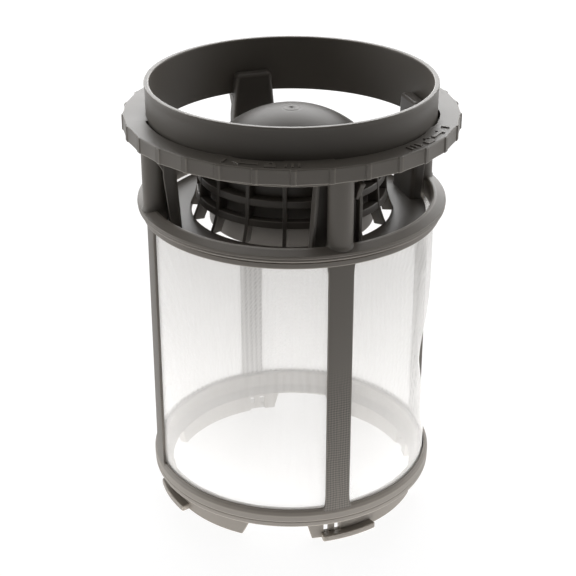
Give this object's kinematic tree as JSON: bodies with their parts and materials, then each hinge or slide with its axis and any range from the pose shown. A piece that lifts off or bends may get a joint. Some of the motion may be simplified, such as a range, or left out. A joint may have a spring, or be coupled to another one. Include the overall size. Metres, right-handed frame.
{
  "type": "dishwasher filter",
  "caption": "Cylindrical dishwasher filter: fine mesh basket with four ribs, a round collar with a grip flange on four posts, and a snap-in domed coarse strainer.",
  "frame": {"origin": "centre of the box's base, on the filter's own axis, at the foot of the skirt", "axes": "+Z along the filter's axis, from the foot up to the collar's lip; posts and ribs stand on the X and Y axes"},
  "size_m": [0.109, 0.1086, 0.147],
  "materials": {
    "frame_plastic": "warm grey moulded polypropylene, satin, worn a little lighter at its edges",
    "strainer_plastic": "darker warm grey moulded polypropylene, satin",
    "filter_cloth": "fine woven white filter cloth, translucent"
  },
  "bodies": {
    "root": {"upper_frame": "frame_plastic", "basket_frame": "frame_plastic", "mesh_sleeve": "filter_cloth", "coarse_strainer": "strainer_plastic"}
  },
  "joints": []
}
